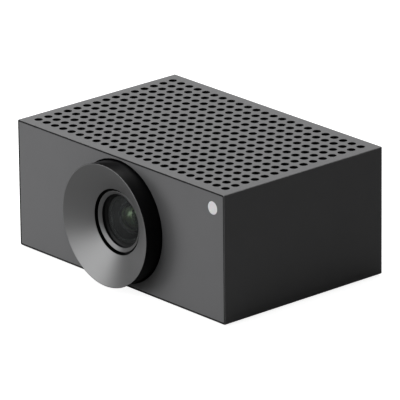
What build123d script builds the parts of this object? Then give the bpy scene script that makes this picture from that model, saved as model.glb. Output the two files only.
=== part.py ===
"""A box-shaped conference camera, built from the pieces that it comes apart into.

A square aluminium sleeve with a perforated top holds everything. A front plate with the
lens hood closes one end and a rear plate with the sockets closes the other. The frame is
+X to the right seen from the front, +Y to the back and +Z up, with the origin at the
middle of the footprint. Sizes are in millimetres, and a depth is a distance behind the
front face.
"""

import os

from build123d import *

# Overall sizes
body_width = 102.0
body_height = 43.9
body_depth = 68.6
foot_height = 0.6  # how far the feet stand below the sleeve
hood_reach = 6.7  # how far the hood stands in front of the face
lens_drop = 0.2  # from the middle of the sleeve's height down to the lens axis

# Sleeve
wall = 1.6
sleeve_edge_radius = 0.35
lip = 0.5  # wall left around the two end plates
lip_edge = 0.12  # what the bevel leaves of the lip at the front
vent_pitch = 4.2
vent_radius = 1.4
vent_margin = 4.7  # least distance from the outer edge to the first row

# Front plate and its seal
front_plate_thickness = 3.2
seal_width = 0.12
plate_corner_radius = 0.3
boss_radius = 2.6
front_boss_length = 4.8

# Hood and lens
hood_edge_margin = 1.5  # from the foot of the hood to the sleeve's top
hood_flare = 0.35  # how much wider the rim is than the foot of the hood
hood_gap = 0.55  # ring gap between the hood and the front plate
hood_seat_depth = 1.2
hood_rim_width = 0.3
hood_rim_chamfer = 0.15
hood_screw_share = 0.6  # of the hood's thickness at the screws, taken by their holes
cone_floor_depth = -1.3  # where the hood's cone meets the lens opening
lens_gap = 0.8  # ring gap between the hood and the lens
barrel_radius = 10.3
barrel_length = 19.6
lens_fit = 0.06
ring_slope = 0.9
ring_glass_radius = 9.0
ring_neck_radius = 9.6
ring_front_depth = -0.7
ring_flange = 1.3
ring_neck = 1.2
front_glass_radius = 8.9
front_glass_edge = 2.5
front_glass_curve = 22.0
front_glass_hollow_curve = 8.0
glass_flat = 0.7  # flat ring around the curve of a lens element
front_glass_front_flat, front_glass_rear_flat = 0.8, 2.7
inner_glass_radius = 6.5
spacer_length = 2.1
spacer_wall = 1.4
second_glass_edge = 3.0
second_glass_front_curve = 8.5
second_glass_rear_curve = 15.0
barrel_web = 1.4
web_radius = 5.0
iris_thickness = 0.4
iris_radius = 3.1
third_glass_edge = 2.4
third_glass_curve = 22.4
rear_glass_edge = 2.0
rear_glass_hollow_curve = 22.0
rear_glass_curve = 27.5
rear_ring_length = 1.2

# Lens housing and image sensor
housing_flange_thickness = 2.5
housing_flange_margin = 2.0  # inside the hood's side
housing_wall = 2.2
housing_tube_end = 23.2
housing_box_end = 27.0
housing_box_side = 27.0
housing_shelf = 1.2
sensor_cavity_side = 19.0
filter_side = 12.0
filter_thickness = 0.6
filter_window = 9.0
sensor_width, sensor_height, sensor_thickness = 14.0, 12.0, 1.6
sensor_glass_width, sensor_glass_height, sensor_glass_thickness = 11.0, 9.0, 0.5
board_thickness = 1.6
sensor_screw_inset = 2.2

# Chassis
sheet = 1.2
chassis_side_gap = 1.4
chassis_notch_gap = 0.8
flange_top_gap = 9.9  # from the sleeve's ceiling down to the front flange
front_boss_inset = 11.0  # from the sleeve's side
front_boss_rise = 5.0  # from the chassis floor to the lower bosses
front_boss_drop = 5.8  # from the flange's top to the upper bosses
rear_tab_width = 7.0
rear_tab_height = 36.0
rear_screw_inset = 6.4  # from the sleeve's side
rear_screw_rise = 5.5  # from the sleeve's bottom or top

# Main board and heat sink
standoff_height = 6.2
standoff_radius = 2.5
board_side_inset = 12.0  # from the sleeve's side
board_gap = 3.6  # behind the sensor board
board_rear_gap = 1.0  # in front of the rear plate
leg_side_inset = 3.5  # from the board's side
leg_radius = 2.5
front_leg_setback, rear_leg_setback = 8.0, 5.5  # from the board's front and rear edges
processor_side, processor_thickness = 14.0, 1.6
processor_setback = 14.0
pad_thickness = 0.8
pedestal_side = 16.0
sink_rise = 15.8  # from the board to the underside of the heat sink's plate
sink_plate = 3.0
sink_top_gap = 1.5
fin_thickness = 1.4
fin_pitch = 5.4
fin_edge = 0.6
capacitor_x = -20.0
capacitor_setback = 4.5
capacitor_radius, capacitor_height, capacitor_pitch = 2.0, 5.4, 5.5
capacitor_chamfer = 0.3

# Sockets, button and light
jack_x = -24.0
jack_width, jack_height, jack_length = 16.0, 13.4, 21.3
jack_shell = 0.4
jack_socket_width, jack_socket_height, jack_socket_depth = 11.9, 8.2, 14.0
jack_socket_lift = 3.3  # from the bottom of the insert to the socket
jack_key_width, jack_key_height = 6.1, 1.9
contact_width, contact_height, contact_pitch, contact_length = 0.45, 0.35, 1.02, 9.0
contact_drop = 0.9
usb_x = 2.0
usb_width, usb_height, usb_length = 8.94, 3.26, 7.3
usb_shell = 0.3
tongue_width, tongue_height, tongue_length = 6.7, 0.7, 4.45
tongue_root_length = 2.2
socket_recess = 0.2  # how far the sockets sit inside the rear face
cutout_gap = 0.15
button_x = 12.0
button_rise = 2.8  # from the board to the button's axis
button_radius, button_collar_radius = 1.6, 2.4
button_gap = 0.15
button_recess = 0.3
button_collar = 1.0
button_rest_gap = 0.3  # between the collar and the rear plate at rest
button_travel = 0.5
stem_radius, stem_length, stem_gap = 0.9, 2.6, 0.12
stem_in_switch = 1.0
switch_width, switch_height, switch_length = 6.0, 4.2, 5.0
light_inset = 5.6  # from the sleeve's side and top
light_radius, light_flange_radius, light_stem_radius = 2.2, 3.0, 1.8
light_gap = 0.05
light_flange = 1.0
led_side, led_thickness = 2.0, 0.8
light_board_width, light_board_height, light_board_thickness = 15.4, 7.4, 1.2
light_board_depth = 9.2
light_board_margin = 0.3
light_post_radius = 1.6
light_post_shift = 4.9  # from the light to its board's post
ribbon_thickness = 0.3
light_ribbon_width, sensor_ribbon_width = 4.0, 8.0
socket_height, socket_length = 1.5, 3.0

# Fasteners and feet
screw_radius = 1.2
screw_fit = 0.05
screw_pass_gap = 0.15
screw_head_radius, screw_head_height = 2.2, 1.5
drive_share, drive_depth_share = 0.5, 0.55  # of the head, taken by its six-sided drive
screw_head_pocket_gap = 0.6  # around the heads between the heat sink's fins
small_screw_radius, small_head_radius, small_head_height = 0.9, 1.7, 1.1
rear_plate_thickness = 2.0
rear_plate_gap = 0.1
foot_radius = 4.0
foot_recess = 0.6
foot_side_inset, foot_end_inset = 11.0, 9.0
tripod_depth = 34.0
tripod_thread_radius = 2.6
tripod_body_radius, tripod_flange_radius = 4.75, 6.5
tripod_flange, tripod_cap, tripod_fit = 1.2, 0.8, 0.05
tripod_length = 8.2

# Places that follow from the sizes above
face_y = hood_reach - (body_depth + hood_reach) / 2
bottom_z = foot_height
top_z = bottom_z + body_height
middle_z = bottom_z + body_height / 2
axis_z = middle_z - lens_drop
floor_z = bottom_z + wall
ceiling_z = top_z - wall
inner_width = body_width - 2 * wall
inner_height = body_height - 2 * wall
flange_height = inner_height - flange_top_gap
mouth_width = body_width - 2 * lip
mouth_height = body_height - 2 * lip
hood_radius = body_height / 2 - hood_edge_margin
rim_radius = hood_radius + hood_flare
rim_inner = rim_radius - hood_rim_width
opening_radius = barrel_radius + lens_gap
housing_radius = barrel_radius + lens_fit + housing_wall
lens_screw_circle = max(
    (opening_radius + hood_radius) / 2,
    housing_radius + screw_head_radius + screw_pass_gap,
)
chassis_depth = front_plate_thickness + front_boss_length
chassis_top = floor_z + sheet
board_bottom = chassis_top + standoff_height
board_top = board_bottom + board_thickness
sensor_board_end = housing_box_end + board_thickness
board_front = sensor_board_end + board_gap
rear_plate_front = body_depth - rear_plate_thickness
board_rear = rear_plate_front - board_rear_gap
board_half = body_width / 2 - board_side_inset
leg_x = board_half - leg_side_inset
leg_depths = (board_front + front_leg_setback, board_rear - rear_leg_setback)
leg_spots = [(x, face_y + depth) for x in (-leg_x, leg_x) for depth in leg_depths]
sink_bottom = board_top + sink_rise
sink_plate_top = sink_bottom + sink_plate
processor_spot = (0, face_y + board_front + processor_setback)
light_x = body_width / 2 - light_inset
light_z = top_z - light_inset
button_z = board_top + button_rise
socket_face = body_depth - socket_recess
screw_pass_radius = screw_radius + screw_pass_gap
screw_hole_radius = screw_radius + screw_fit

optic_plane = Plane(origin=(0, face_y, axis_z), x_dir=(0, 1, 0), z_dir=(1, 0, 0))
optic_axis = Axis((0, face_y, axis_z), (0, 1, 0))


def across(depth):
    """The plane across the camera at a depth, facing the front, with X and Z as its axes."""
    return Plane.XZ.offset(-(face_y + depth))


def level(height):
    """The level plane at a height."""
    return Plane.XY.offset(height)


def save(part, name):
    """Labels a finished piece and writes its STEP file."""
    part.label = name
    export_step(part, f"parts/{name}.step")


def turned(points):
    """A piece turned about the lens axis from a closed outline of (depth, radius)."""
    with BuildPart() as piece:
        with BuildSketch(optic_plane):
            with BuildLine():
                Polyline(*points, close=True)
            make_face()
        revolve(axis=optic_axis)
    return piece.part


def ring(start, end, inner, outer):
    """A plain ring about the lens axis."""
    return turned([(start, inner), (end, inner), (end, outer), (start, outer)])


def sag(curve, radius):
    """How deep a spherical surface of that curve is at a radius."""
    return curve - (curve**2 - radius**2) ** 0.5


def block(x_range, depth_range, z_range):
    """A plain rectangular piece between two x values, two depths and two heights."""
    (x0, x1), (d0, d1), (z0, z1) = x_range, depth_range, z_range
    with BuildPart() as piece:
        with BuildSketch(level(z0)):
            with Locations(((x0 + x1) / 2, face_y + (d0 + d1) / 2)):
                Rectangle(x1 - x0, d1 - d0)
        extrude(amount=z1 - z0)
    return piece.part


def screws(spots, seat_depth, length, radius, head_radius, head_height, head_behind=True):
    """Round-headed screws that run to the front from heads seated at a depth."""
    shank_end = seat_depth - length if head_behind else seat_depth + length
    head_end = seat_depth + head_height if head_behind else seat_depth - head_height
    with BuildPart() as piece:
        with BuildSketch(across(max(seat_depth, shank_end))):
            with Locations(*spots):
                Circle(radius)
        extrude(amount=length)
        with BuildSketch(across(max(seat_depth, head_end))):
            with Locations(*spots):
                Circle(head_radius)
        extrude(amount=head_height)
        with BuildSketch(across(head_end)):
            with Locations(*spots):
                RegularPolygon(head_radius * drive_share, 6)
        drive_depth = head_height * drive_depth_share
        extrude(amount=drive_depth if head_behind else -drive_depth, mode=Mode.SUBTRACT)
    return piece.part


# Sleeve
def make_sleeve():
    columns = int((body_width - 2 * vent_margin) / vent_pitch) + 1
    rows = int((body_depth - 2 * vent_margin) / vent_pitch) + 1
    foot_x = body_width / 2 - foot_side_inset
    with BuildPart() as sleeve:
        with BuildSketch(across(body_depth)):
            with Locations((0, middle_z)):
                RectangleRounded(body_width, body_height, sleeve_edge_radius)
                Rectangle(inner_width, inner_height, mode=Mode.SUBTRACT)
        extrude(amount=body_depth)
        mouths = ((front_plate_thickness, front_plate_thickness), (body_depth, rear_plate_thickness))
        for depth, length in mouths:
            with BuildSketch(across(depth)):
                with Locations((0, middle_z)):
                    RectangleRounded(mouth_width, mouth_height, plate_corner_radius)
            extrude(amount=length, mode=Mode.SUBTRACT)
        front_face = sleeve.faces().sort_by(Axis.Y)[0]
        chamfer(front_face.inner_wires()[0].edges(), length=lip - lip_edge)
        with BuildSketch(level(top_z)):
            with Locations((0, face_y + body_depth / 2)):
                with GridLocations(vent_pitch, vent_pitch, columns, rows):
                    Circle(vent_radius)
        extrude(amount=-wall, mode=Mode.SUBTRACT)
        with BuildSketch(level(bottom_z)):
            for x in (-foot_x, foot_x):
                for depth in (foot_end_inset, body_depth - foot_end_inset):
                    with Locations((x, face_y + depth)):
                        Circle(foot_radius)
        extrude(amount=foot_recess, mode=Mode.SUBTRACT)
        with BuildSketch(level(bottom_z)):
            with Locations((0, face_y + tripod_depth)):
                Circle(tripod_body_radius + tripod_fit)
        extrude(amount=wall, mode=Mode.SUBTRACT)
    save(sleeve.part, "sleeve")

    with BuildPart() as feet:
        with BuildSketch(level(0)):
            for x in (-foot_x, foot_x):
                for depth in (foot_end_inset, body_depth - foot_end_inset):
                    with Locations((x, face_y + depth)):
                        Circle(foot_radius)
        extrude(amount=bottom_z + foot_recess)
        chamfer(feet.edges().group_by(Axis.Z)[0], length=foot_height / 3)
    save(feet.part, "rubber_feet")


# Front plate, its seal, the hood and the screws that clamp them
plate_width = mouth_width - 2 * seal_width
plate_height = mouth_height - 2 * seal_width
lens_screw_spots = [
    (sx * lens_screw_circle / 2**0.5, axis_z + sz * lens_screw_circle / 2**0.5)
    for sx in (-1, 1)
    for sz in (-1, 1)
]
front_boss_x = body_width / 2 - front_boss_inset
front_boss_z = (chassis_top + front_boss_rise, floor_z + flange_height - front_boss_drop)
front_boss_spots = [(x, z) for x in (-front_boss_x, front_boss_x) for z in front_boss_z]
light_post_spot = (light_x - light_post_shift, light_z)
tap_end = front_plate_thickness - hood_seat_depth  # plate left behind the hood


def make_front():
    with BuildPart() as plate:
        with BuildSketch(across(front_plate_thickness)):
            with Locations((0, middle_z)):
                RectangleRounded(plate_width, plate_height, plate_corner_radius)
            with Locations((0, axis_z)):
                Circle(opening_radius, mode=Mode.SUBTRACT)
            with Locations((light_x, light_z)):
                Circle(light_radius + light_gap, mode=Mode.SUBTRACT)
            with Locations(*lens_screw_spots):
                Circle(screw_pass_radius, mode=Mode.SUBTRACT)
        extrude(amount=front_plate_thickness)
        with BuildSketch(across(hood_seat_depth)):
            with Locations((0, axis_z)):
                Circle(hood_radius + hood_gap)
        extrude(amount=hood_seat_depth, mode=Mode.SUBTRACT)
        with BuildSketch(across(chassis_depth)):
            with Locations(*front_boss_spots):
                Circle(boss_radius)
        extrude(amount=front_boss_length)
        with BuildSketch(across(light_board_depth)):
            with Locations(light_post_spot):
                Circle(light_post_radius)
        extrude(amount=light_board_depth - front_plate_thickness)
        with BuildSketch(across(chassis_depth)):
            with Locations(*front_boss_spots):
                Circle(screw_hole_radius)
        extrude(amount=front_boss_length, mode=Mode.SUBTRACT)
        with BuildSketch(across(light_board_depth)):
            with Locations(light_post_spot):
                Circle(small_screw_radius + screw_fit)
        extrude(amount=light_board_depth - front_plate_thickness, mode=Mode.SUBTRACT)
    save(plate.part, "front_plate")

    bevel = lip - lip_edge
    with BuildPart() as seal:
        with BuildSketch(across(front_plate_thickness)):
            with Locations((0, middle_z)):
                RectangleRounded(mouth_width, mouth_height, plate_corner_radius)
        extrude(amount=front_plate_thickness - bevel)
        for depth, spread in ((bevel, 0), (0, bevel)):
            with BuildSketch(across(depth)):
                with Locations((0, middle_z)):
                    RectangleRounded(
                        mouth_width + 2 * spread,
                        mouth_height + 2 * spread,
                        plate_corner_radius + spread,
                    )
        loft()
        with BuildSketch(across(front_plate_thickness)):
            with Locations((0, middle_z)):
                RectangleRounded(plate_width, plate_height, plate_corner_radius)
        extrude(amount=front_plate_thickness, mode=Mode.SUBTRACT)
    save(seal.part, "front_seal")

    with BuildPart() as hood:
        add(
            turned(
                [
                    (hood_seat_depth, opening_radius),
                    (hood_seat_depth, hood_radius),
                    (0, hood_radius),
                    (hood_rim_chamfer - hood_reach, rim_radius),
                    (-hood_reach, rim_radius - hood_rim_chamfer),
                    (-hood_reach, rim_inner),
                    (cone_floor_depth, opening_radius),
                ]
            )
        )
        with BuildSketch(across(hood_seat_depth)):
            with Locations(*lens_screw_spots):
                Circle(screw_hole_radius)
        extrude(amount=hood_screw_reach, mode=Mode.SUBTRACT)
    save(hood.part, "lens_hood")

    seat = front_plate_thickness + housing_flange_thickness
    length = housing_flange_thickness + tap_end + hood_screw_reach - screw_pass_gap
    lens_screws = screws(
        lens_screw_spots, seat, length, screw_radius, screw_head_radius, screw_head_height
    )
    save(lens_screws, "lens_screws")


cone_slope = (hood_reach + cone_floor_depth) / (rim_inner - opening_radius)
cone_depth_at_screws = cone_floor_depth - (lens_screw_circle - opening_radius) * cone_slope
hood_screw_reach = (hood_seat_depth - cone_depth_at_screws) * hood_screw_share

# Depths along the lens, from the front ring to the last element
ring_seat = ring_front_depth + ring_flange
front_glass_start = ring_seat + ring_neck
front_glass_end = front_glass_start + front_glass_edge
second_glass_start = front_glass_end + spacer_length
web_start = second_glass_start + second_glass_edge
iris_start = web_start + barrel_web
third_glass_start = iris_start + iris_thickness + spacer_wall
third_glass_end = third_glass_start + third_glass_edge
rear_glass_start = third_glass_end + spacer_wall
rear_glass_end = rear_glass_start + rear_glass_edge
rear_ring_end = rear_glass_end + rear_ring_length
barrel_end = max(ring_seat + barrel_length, rear_ring_end)
front_bore = front_glass_radius + lens_fit
inner_bore = inner_glass_radius + lens_fit


def glass(
    start, end, radius, front_curve, rear_curve, front_flat=glass_flat, rear_flat=glass_flat
):
    """A lens element between two edge depths; a curve over 0 bulges and one under 0 is hollow."""
    front_reach = radius - front_flat
    rear_reach = radius - rear_flat

    def depths(edge, curve, reach, outward):
        """The depth of a curved face on the axis and halfway out."""
        way = outward if curve > 0 else -outward
        full = sag(abs(curve), reach)
        return edge + way * full, edge + way * (full - sag(abs(curve), reach / 2))

    front_tip, front_middle = depths(start, front_curve, front_reach, -1)
    rear_tip, rear_middle = depths(end, rear_curve, rear_reach, 1)
    with BuildPart() as piece:
        with BuildSketch(optic_plane):
            with BuildLine():
                ThreePointArc((front_tip, 0), (front_middle, front_reach / 2), (start, front_reach))
                Polyline((start, front_reach), (start, radius), (end, radius), (end, rear_reach))
                ThreePointArc((end, rear_reach), (rear_middle, rear_reach / 2), (rear_tip, 0))
                Line((rear_tip, 0), (front_tip, 0))
            make_face()
        revolve(axis=optic_axis)
    return piece.part


def make_lens():
    save(
        turned(
            [
                (ring_front_depth, barrel_radius),
                (ring_seat, barrel_radius),
                (ring_seat, ring_neck_radius),
                (front_glass_start, ring_neck_radius),
                (front_glass_start, front_glass_radius - spacer_wall / 2),
                (front_glass_start - ring_neck / 2, ring_glass_radius),
                (ring_front_depth + ring_slope, ring_glass_radius),
            ]
        ),
        "front_ring",
    )
    save(
        turned(
            [
                (ring_seat, barrel_radius),
                (barrel_end, barrel_radius),
                (barrel_end, inner_bore),
                (iris_start, inner_bore),
                (iris_start, web_radius),
                (web_start, web_radius),
                (web_start, inner_bore),
                (second_glass_start, inner_bore),
                (second_glass_start, front_bore),
                (front_glass_start, front_bore),
                (front_glass_start, ring_neck_radius + lens_fit),
                (ring_seat, ring_neck_radius + lens_fit),
            ]
        ),
        "lens_barrel",
    )
    save(
        glass(
            front_glass_start,
            front_glass_end,
            front_glass_radius,
            front_glass_curve,
            -front_glass_hollow_curve,
            front_glass_front_flat,
            front_glass_rear_flat,
        ),
        "front_lens_element",
    )
    save(
        turned(
            [
                (front_glass_end, front_glass_radius),
                (second_glass_start, front_glass_radius),
                (second_glass_start, inner_glass_radius - glass_flat),
                (front_glass_end, front_glass_radius - spacer_wall),
            ]
        ),
        "front_spacer",
    )
    save(
        glass(
            second_glass_start,
            web_start,
            inner_glass_radius,
            second_glass_front_curve,
            -second_glass_rear_curve,
        ),
        "second_lens_element",
    )
    with BuildPart() as iris:
        with BuildSketch(across(iris_start + iris_thickness)):
            with Locations((0, axis_z)):
                Circle(inner_glass_radius)
                RegularPolygon(iris_radius, 6, mode=Mode.SUBTRACT)
        extrude(amount=iris_thickness)
    save(iris.part, "iris_plate")
    inner_spacer_radius = inner_glass_radius - glass_flat
    save(
        ring(iris_start + iris_thickness, third_glass_start, inner_spacer_radius, inner_glass_radius),
        "middle_spacer",
    )
    save(
        glass(
            third_glass_start,
            third_glass_end,
            inner_glass_radius,
            third_glass_curve,
            third_glass_curve,
        ),
        "third_lens_element",
    )
    save(
        ring(third_glass_end, rear_glass_start, inner_spacer_radius, inner_glass_radius),
        "rear_spacer",
    )
    save(
        glass(
            rear_glass_start,
            rear_glass_end,
            inner_glass_radius,
            -rear_glass_hollow_curve,
            rear_glass_curve,
        ),
        "rear_lens_element",
    )
    save(
        ring(rear_glass_end, rear_ring_end, inner_spacer_radius, inner_glass_radius),
        "rear_ring",
    )


# Lens housing, filter and image sensor
sensor_screw_offset = housing_box_side / 2 - sensor_screw_inset
sensor_screw_spots = [
    (sx * sensor_screw_offset, axis_z + sz * sensor_screw_offset)
    for sx in (-1, 1)
    for sz in (-1, 1)
]
shelf_end = housing_tube_end
shelf_start = shelf_end - housing_shelf
sensor_start = housing_box_end - sensor_thickness
sensor_socket_z = axis_z


def make_sensor():
    flange_end = front_plate_thickness + housing_flange_thickness
    bore = barrel_radius + lens_fit
    with BuildPart() as housing:
        add(
            turned(
                [
                    (front_plate_thickness, bore),
                    (front_plate_thickness, hood_radius - housing_flange_margin),
                    (flange_end, hood_radius - housing_flange_margin),
                    (flange_end, housing_radius),
                    (shelf_end, housing_radius),
                    (shelf_end, 0),
                    (shelf_start, 0),
                    (shelf_start, bore),
                ]
            )
        )
        with BuildSketch(across(housing_box_end)):
            with Locations((0, axis_z)):
                RectangleRounded(housing_box_side, housing_box_side, housing_wall)
                Rectangle(sensor_cavity_side, sensor_cavity_side, mode=Mode.SUBTRACT)
        extrude(amount=housing_box_end - shelf_end)
        with BuildSketch(across(shelf_end)):
            with Locations((0, axis_z)):
                RectangleRounded(housing_box_side, housing_box_side, housing_wall)
                Circle(bore, mode=Mode.SUBTRACT)
        extrude(amount=housing_shelf)
        with BuildSketch(across(shelf_end)):
            with Locations((0, axis_z)):
                Rectangle(filter_window, filter_window)
        extrude(amount=housing_shelf, mode=Mode.SUBTRACT)
        with BuildSketch(across(flange_end)):
            with Locations(*lens_screw_spots):
                Circle(screw_pass_radius)
        extrude(amount=housing_flange_thickness, mode=Mode.SUBTRACT)
        with BuildSketch(across(housing_box_end)):
            with Locations(*sensor_screw_spots):
                Circle(small_screw_radius + screw_fit)
        extrude(amount=housing_box_end - shelf_end, mode=Mode.SUBTRACT)
    save(housing.part, "lens_housing")

    with BuildPart() as infrared_filter:
        with BuildSketch(across(shelf_end + filter_thickness)):
            with Locations((0, axis_z)):
                Rectangle(filter_side, filter_side)
        extrude(amount=filter_thickness)
    save(infrared_filter.part, "infrared_filter")

    with BuildPart() as sensor:
        with BuildSketch(across(housing_box_end)):
            with Locations((0, axis_z)):
                Rectangle(sensor_width, sensor_height)
        extrude(amount=sensor_thickness)
    save(sensor.part, "image_sensor")

    with BuildPart() as cover:
        with BuildSketch(across(sensor_start)):
            with Locations((0, axis_z)):
                Rectangle(sensor_glass_width, sensor_glass_height)
        extrude(amount=sensor_glass_thickness)
    save(cover.part, "sensor_glass")

    with BuildPart() as board:
        with BuildSketch(across(sensor_board_end)):
            with Locations((0, axis_z)):
                RectangleRounded(housing_box_side, housing_box_side, housing_wall)
            with Locations(*sensor_screw_spots):
                Circle(small_screw_radius + screw_pass_gap, mode=Mode.SUBTRACT)
        extrude(amount=board_thickness)
    save(board.part, "sensor_board")

    length = board_thickness + housing_box_end - shelf_end - screw_pass_gap
    save(
        screws(
            sensor_screw_spots,
            sensor_board_end,
            length,
            small_screw_radius,
            small_head_radius,
            small_head_height,
        ),
        "sensor_screws",
    )
    half = sensor_ribbon_width / 2 + ribbon_thickness
    save(
        block(
            (-half, half),
            (sensor_board_end, sensor_board_end + socket_height),
            (sensor_socket_z - socket_length / 2, sensor_socket_z + socket_length / 2),
        ),
        "sensor_socket",
    )


def ribbon(points, x, width):
    """A flat ribbon along (depth, height) points, rounded at the bends and centred on x."""
    start_depth, start_z = points[0]
    side_plane = Plane(origin=(x, face_y, 0), x_dir=(0, 1, 0), z_dir=(1, 0, 0))
    end_plane = Plane(origin=(x, face_y + start_depth, start_z), x_dir=(1, 0, 0), z_dir=(0, 1, 0))
    with BuildPart() as piece:
        with BuildLine(side_plane):
            FilletPolyline(*points, radius=ribbon_thickness * 2)
        with BuildSketch(end_plane):
            Rectangle(width, ribbon_thickness)
        sweep()
    return piece.part


# Chassis, tripod insert and rear plate
chassis_half = inner_width / 2 - chassis_side_gap
rear_screw_x = body_width / 2 - rear_screw_inset
rear_screw_spots = [
    (x, z)
    for x in (-rear_screw_x, rear_screw_x)
    for z in (bottom_z + rear_screw_rise, top_z - rear_screw_rise)
]
tab_end = board_rear - rear_leg_setback + leg_radius
tab_start = tab_end - sheet


def make_chassis():
    with BuildPart() as chassis:
        with BuildSketch(level(floor_z)):
            middle = face_y + (chassis_depth + tab_end) / 2
            with Locations((0, middle)):
                Rectangle(2 * chassis_half, tab_end - chassis_depth)
            with Locations((0, face_y + tripod_depth)):
                Circle(tripod_body_radius + tripod_fit, mode=Mode.SUBTRACT)
        extrude(amount=sheet)
        with BuildSketch(across(chassis_depth + sheet)):
            with Locations((0, floor_z)):
                Rectangle(2 * chassis_half, flange_height, align=(Align.CENTER, Align.MIN))
            with Locations((0, axis_z)):
                notch = housing_radius + chassis_notch_gap
                Circle(notch, mode=Mode.SUBTRACT)
                Rectangle(
                    2 * notch,
                    flange_height,
                    align=(Align.CENTER, Align.MIN),
                    mode=Mode.SUBTRACT,
                )
            with Locations(*front_boss_spots):
                Circle(screw_pass_radius, mode=Mode.SUBTRACT)
        extrude(amount=sheet)
        with BuildSketch(across(tab_end)):
            for side in (-1, 1):
                with Locations((side * (chassis_half - rear_tab_width / 2), floor_z)):
                    Rectangle(
                        rear_tab_width,
                        inner_height - chassis_side_gap,
                        align=(Align.CENTER, Align.MIN),
                    )
            with Locations(*rear_screw_spots):
                Circle(screw_hole_radius, mode=Mode.SUBTRACT)
        extrude(amount=sheet)
    save(chassis.part, "chassis")

    length = sheet + front_boss_length - screw_pass_gap
    save(
        screws(
            front_boss_spots,
            chassis_depth + sheet,
            length,
            screw_radius,
            screw_head_radius,
            screw_head_height,
        ),
        "chassis_screws",
    )

    insert_top = bottom_z + tripod_length
    with BuildPart() as insert:
        with BuildSketch(level(bottom_z)):
            with Locations((0, face_y + tripod_depth)):
                Circle(tripod_body_radius)
        extrude(amount=tripod_length)
        with BuildSketch(level(chassis_top)):
            with Locations((0, face_y + tripod_depth)):
                RegularPolygon(tripod_flange_radius, 6)
        extrude(amount=tripod_flange)
        with BuildSketch(level(bottom_z)):
            with Locations((0, face_y + tripod_depth)):
                Circle(tripod_thread_radius)
        extrude(amount=insert_top - tripod_cap - bottom_z, mode=Mode.SUBTRACT)
    save(insert.part, "tripod_insert")


def make_rear():
    jack_z = board_top + jack_height / 2
    usb_z = board_top + usb_height / 2
    with BuildPart() as plate:
        with BuildSketch(across(body_depth)):
            with Locations((0, middle_z)):
                RectangleRounded(
                    mouth_width - 2 * rear_plate_gap,
                    mouth_height - 2 * rear_plate_gap,
                    plate_corner_radius,
                )
            with Locations((jack_x, jack_z)):
                Rectangle(
                    jack_width + 2 * cutout_gap,
                    jack_height + 2 * cutout_gap,
                    mode=Mode.SUBTRACT,
                )
            with Locations((usb_x, usb_z)):
                RectangleRounded(
                    usb_width + 2 * cutout_gap,
                    usb_height + 2 * cutout_gap,
                    usb_height / 2,
                    mode=Mode.SUBTRACT,
                )
            with Locations((button_x, button_z)):
                Circle(button_radius + button_gap, mode=Mode.SUBTRACT)
        extrude(amount=rear_plate_thickness)
        with BuildSketch(across(rear_plate_front)):
            with Locations(*rear_screw_spots):
                Circle(boss_radius)
        extrude(amount=rear_plate_front - tab_end)
        with BuildSketch(across(body_depth)):
            with Locations(*rear_screw_spots):
                Circle(screw_pass_radius)
        extrude(amount=body_depth - tab_end, mode=Mode.SUBTRACT)
        with BuildSketch(across(body_depth)):
            with Locations(*rear_screw_spots):
                Circle(screw_head_radius + screw_pass_gap)
        extrude(amount=screw_head_height, mode=Mode.SUBTRACT)
    save(plate.part, "rear_plate")

    seat = body_depth - screw_head_height
    save(
        screws(
            rear_screw_spots,
            seat,
            seat - tab_start,
            screw_radius,
            screw_head_radius,
            screw_head_height,
        ),
        "rear_screws",
    )


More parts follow.
